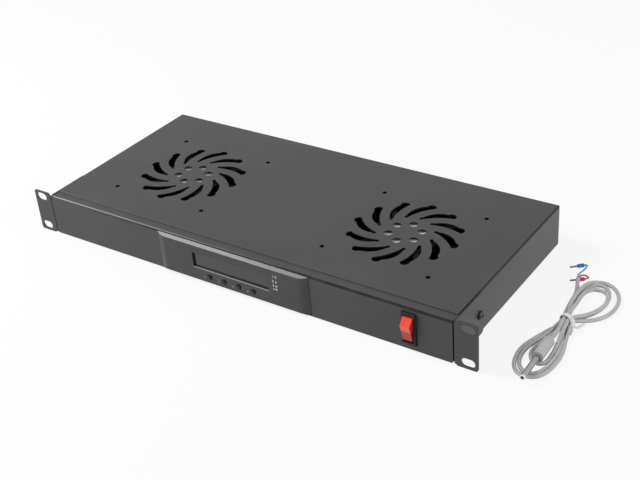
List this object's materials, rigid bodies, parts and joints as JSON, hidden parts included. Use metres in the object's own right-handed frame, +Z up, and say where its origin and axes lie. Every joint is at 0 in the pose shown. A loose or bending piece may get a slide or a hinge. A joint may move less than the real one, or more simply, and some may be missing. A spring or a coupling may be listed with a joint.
{
  "type": "rack fan tray",
  "caption": "One unit high rack tray of folded steel with two axial fans under comma shaped vents, a digital thermostat, a rocker switch, a mains inlet and a loose probe lead.",
  "frame": {"origin": "centre of the four rack slots, on the rear face of the ears, which meets the rack's rails", "axes": "+X to the right seen from the front, +Y back into the rack, +Z up"},
  "size_m": [0.546, 0.2111, 0.0436],
  "materials": {
    "case_paint": "satin powder coat",
    "cover_paint": "satin powder coat",
    "bezel_plastic": "fine texture",
    "display_dark": "smoked, glossy",
    "button_plastic": "satin",
    "switch_plastic": "glossy black",
    "rocker_red": "translucent red",
    "fan_plastic": "moulded",
    "label_foil": "printed foil",
    "motor_steel": "laminated",
    "zinc_steel": "zinc plated",
    "black_steel": "black oxide",
    "bearing_brass": "sintered",
    "board_green": "solder resist",
    "part_black": "moulded",
    "terminal_green": "moulded",
    "tin_brass": "tinned",
    "cable_black": "jacket",
    "lead_grey": "jacket",
    "tie_white": "moulded",
    "probe_steel": "drawn tube",
    "core_blue": "insulation",
    "core_red": "insulation"
  },
  "bodies": {
    "case": {"chassis_tray": "case_paint", "top_cover": "cover_paint", "cover_screws": "black_steel", "front_panel": "case_paint", "panel_nuts": "zinc_steel", "ear_bracket_left": "case_paint", "ear_bracket_right": "case_paint", "ear_screws": "black_steel", "fan_screws": "black_steel", "control_bezel": "bezel_plastic", "bezel_screws": "zinc_steel", "display_lens": "display_dark", "display_module": "display_dark", "controller_board": "board_green", "board_screws": "zinc_steel", "board_components": "part_black", "tact_switches": "part_black", "switch_body": "switch_plastic", "switch_terminals": "tin_brass", "power_inlet": "part_black", "inlet_pins": "tin_brass", "inlet_screws": "black_steel", "probe_terminal": "terminal_green", "terminal_screws": "zinc_steel", "mains_cable": "cable_black", "fan_cable_left": "cable_black", "fan_cable_right": "cable_black", "fan_frame_left": "fan_plastic", "fan_stator_left": "motor_steel", "fan_bearings_left": "bearing_brass", "fan_label_left": "label_foil", "fan_frame_right": "fan_plastic", "fan_stator_right": "motor_steel", "fan_bearings_right": "bearing_brass", "fan_label_right": "label_foil", "lead_hank": "lead_grey", "hank_tie": "tie_white", "lead_tail": "lead_grey", "lead_run": "lead_grey", "probe_sleeve": "lead_grey", "probe_tube": "probe_steel", "core_blue": "core_blue", "core_red": "core_red", "pin_collar_blue": "core_blue", "pin_collar_red": "core_red", "crimp_pins": "tin_brass"},
    "rotor_left": {"fan_rotor_left": "fan_plastic", "fan_shaft_left": "zinc_steel"},
    "rotor_right": {"fan_rotor_right": "fan_plastic", "fan_shaft_right": "zinc_steel"},
    "rocker": {"switch_rocker": "rocker_red"},
    "key_1": {"button_1": "button_plastic", "tact_plunger_1": "part_black"},
    "key_2": {"button_2": "button_plastic", "tact_plunger_2": "part_black"},
    "key_3": {"button_3": "button_plastic", "tact_plunger_3": "part_black"},
    "key_4": {"button_4": "button_plastic", "tact_plunger_4": "part_black"}
  },
  "joints": [
    {"name": "fan_spin_left", "type": "hinge", "parent": "case", "child": "rotor_left", "pos_m": [-0.12, 0.0955, 0], "axis": [0, 0, 1], "continuous": true},
    {"name": "fan_spin_right", "type": "hinge", "parent": "case", "child": "rotor_right", "pos_m": [0.12, 0.0955, 0], "axis": [0, 0, 1], "continuous": true},
    {"name": "switch_rock", "type": "hinge", "parent": "case", "child": "rocker", "pos_m": [0.18, 0.0005, 0], "axis": [1, 0, 0], "range_deg": [-28, 0]},
    {"name": "press_1", "type": "slide", "parent": "case", "child": "key_1", "axis": [0, 1, 0], "range_m": [0, 0.0005], "stiffness_N_per_m": 800},
    {"name": "press_2", "type": "slide", "parent": "case", "child": "key_2", "axis": [0, 1, 0], "range_m": [0, 0.0005], "stiffness_N_per_m": 800},
    {"name": "press_3", "type": "slide", "parent": "case", "child": "key_3", "axis": [0, 1, 0], "range_m": [0, 0.0005], "stiffness_N_per_m": 800},
    {"name": "press_4", "type": "slide", "parent": "case", "child": "key_4", "axis": [0, 1, 0], "range_m": [0, 0.0005], "stiffness_N_per_m": 800}
  ]
}
